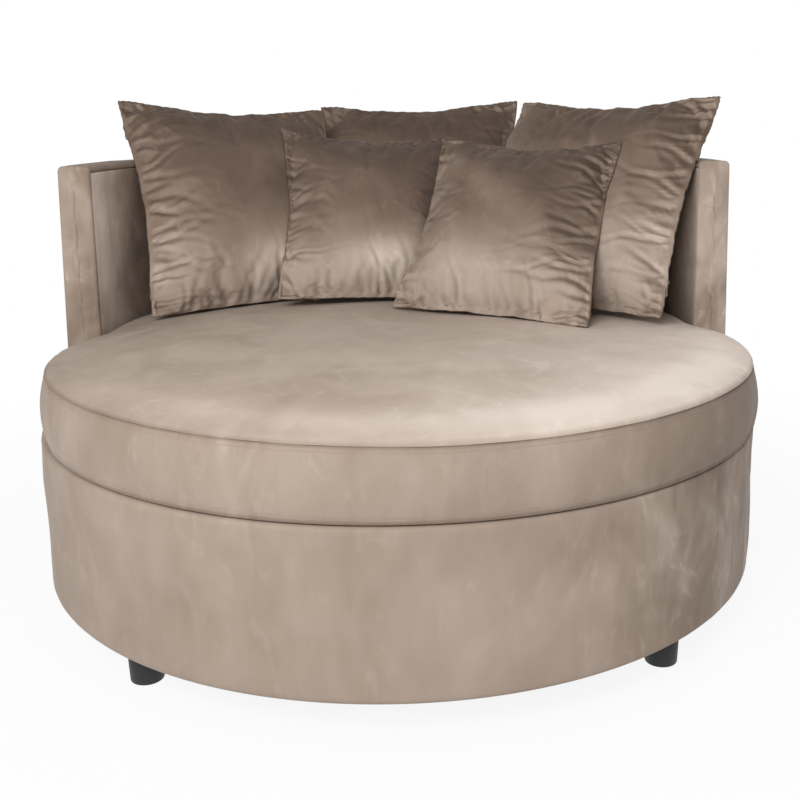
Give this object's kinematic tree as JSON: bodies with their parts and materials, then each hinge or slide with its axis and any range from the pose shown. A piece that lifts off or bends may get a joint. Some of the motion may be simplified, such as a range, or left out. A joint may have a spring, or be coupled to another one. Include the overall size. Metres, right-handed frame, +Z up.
{
  "type": "cuddle chair",
  "caption": "Round low upholstered cuddle chair: drum base on short feet, half-round padded back wall, thick round loose seat cushion and loose square scatter cushions of two sizes.",
  "frame": {"origin": "on the floor, under the middle of the round base", "axes": "+Z up, the chair faces -Y, +X to the right of someone looking at its front"},
  "size_m": [1.3, 1.3038, 0.888],
  "materials": {
    "velvet": "short pile, warm grey-brown, with a soft sheen",
    "foam": "open-cell polyurethane foam",
    "fibre_filling": "bonded fibre",
    "plywood": "plain sanded",
    "softwood": "plain sawn",
    "hardboard": "smooth one side",
    "webbing": "woven elastic",
    "lining_cloth": "plain non-woven",
    "black_plastic": "satin black",
    "steel": "bright zinc plated"
  },
  "bodies": {
    "chair_frame": {"base_side_cover": "velvet", "base_side_foam": "foam", "base_side_board": "hardboard", "base_dust_cover": "lining_cloth", "base_bottom_panel": "plywood", "base_deck_ring": "plywood", "base_upright_1": "softwood", "base_upright_2": "softwood", "base_upright_3": "softwood", "base_upright_4": "softwood", "base_upright_5": "softwood", "base_upright_6": "softwood", "foot_front_left": "black_plastic", "foot_front_right": "black_plastic", "foot_back_right": "black_plastic", "foot_back_left": "black_plastic", "foot_stud_front_left": "steel", "foot_stud_front_right": "steel", "foot_stud_back_right": "steel", "foot_stud_back_left": "steel", "back_bottom_rail": "plywood", "back_top_rail": "plywood", "back_upright_1": "softwood", "back_upright_2": "softwood", "back_upright_3": "softwood", "back_upright_4": "softwood", "back_upright_5": "softwood", "back_inner_board": "hardboard", "back_outer_board": "hardboard", "back_inner_foam": "foam", "back_outer_foam": "foam", "back_inner_cover": "velvet", "back_outer_cover": "velvet", "back_top_cover": "velvet", "back_top_foam": "foam", "back_end_cover_left": "velvet", "back_end_cover_right": "velvet", "back_end_foam_left": "foam", "back_end_foam_right": "foam", "back_bolt_1": "steel", "back_bolt_2": "steel", "back_bolt_3": "steel", "back_bolt_4": "steel", "seat_webbing": "webbing", "seat_deck_cloth": "lining_cloth"},
    "seat_cushion": {"seat_top_panel": "velvet", "seat_side_band": "velvet", "seat_bottom_panel": "velvet", "seat_foam_core": "foam"},
    "large_left_cushion": {"cushion_cover_large_left": "velvet", "cushion_filling_large_left": "fibre_filling"},
    "large_middle_cushion": {"cushion_cover_large_middle": "velvet", "cushion_filling_large_middle": "fibre_filling"},
    "large_right_cushion": {"cushion_cover_large_right": "velvet", "cushion_filling_large_right": "fibre_filling"},
    "small_left_cushion": {"cushion_cover_small_left": "velvet", "cushion_filling_small_left": "fibre_filling"},
    "small_right_cushion": {"cushion_cover_small_right": "velvet", "cushion_filling_small_right": "fibre_filling"}
  },
  "joints": [
    {"name": "seat_cushion_lift", "type": "slide", "parent": "chair_frame", "child": "seat_cushion", "axis": [0, 0, 1], "range_m": [0, 0.5]},
    {"name": "large_middle_cushion_lift", "type": "slide", "parent": "seat_cushion", "child": "large_middle_cushion", "axis": [0, 0.2, 0.9798], "range_m": [0, 0.42]},
    {"name": "large_right_cushion_lift", "type": "slide", "parent": "seat_cushion", "child": "large_right_cushion", "axis": [0, 0, 1], "range_m": [0, 0.42]},
    {"name": "large_left_cushion_lift", "type": "slide", "parent": "large_right_cushion", "child": "large_left_cushion", "axis": [0, 0, 1], "range_m": [0, 0.42]},
    {"name": "small_left_cushion_lift", "type": "slide", "parent": "large_left_cushion", "child": "small_left_cushion", "axis": [0.1, -0.5001, 0.8602], "range_m": [0, 0.42]},
    {"name": "small_right_cushion_lift", "type": "slide", "parent": "small_left_cushion", "child": "small_right_cushion", "axis": [-0.2498, -0.4996, 0.8294], "range_m": [0, 0.42]}
  ]
}
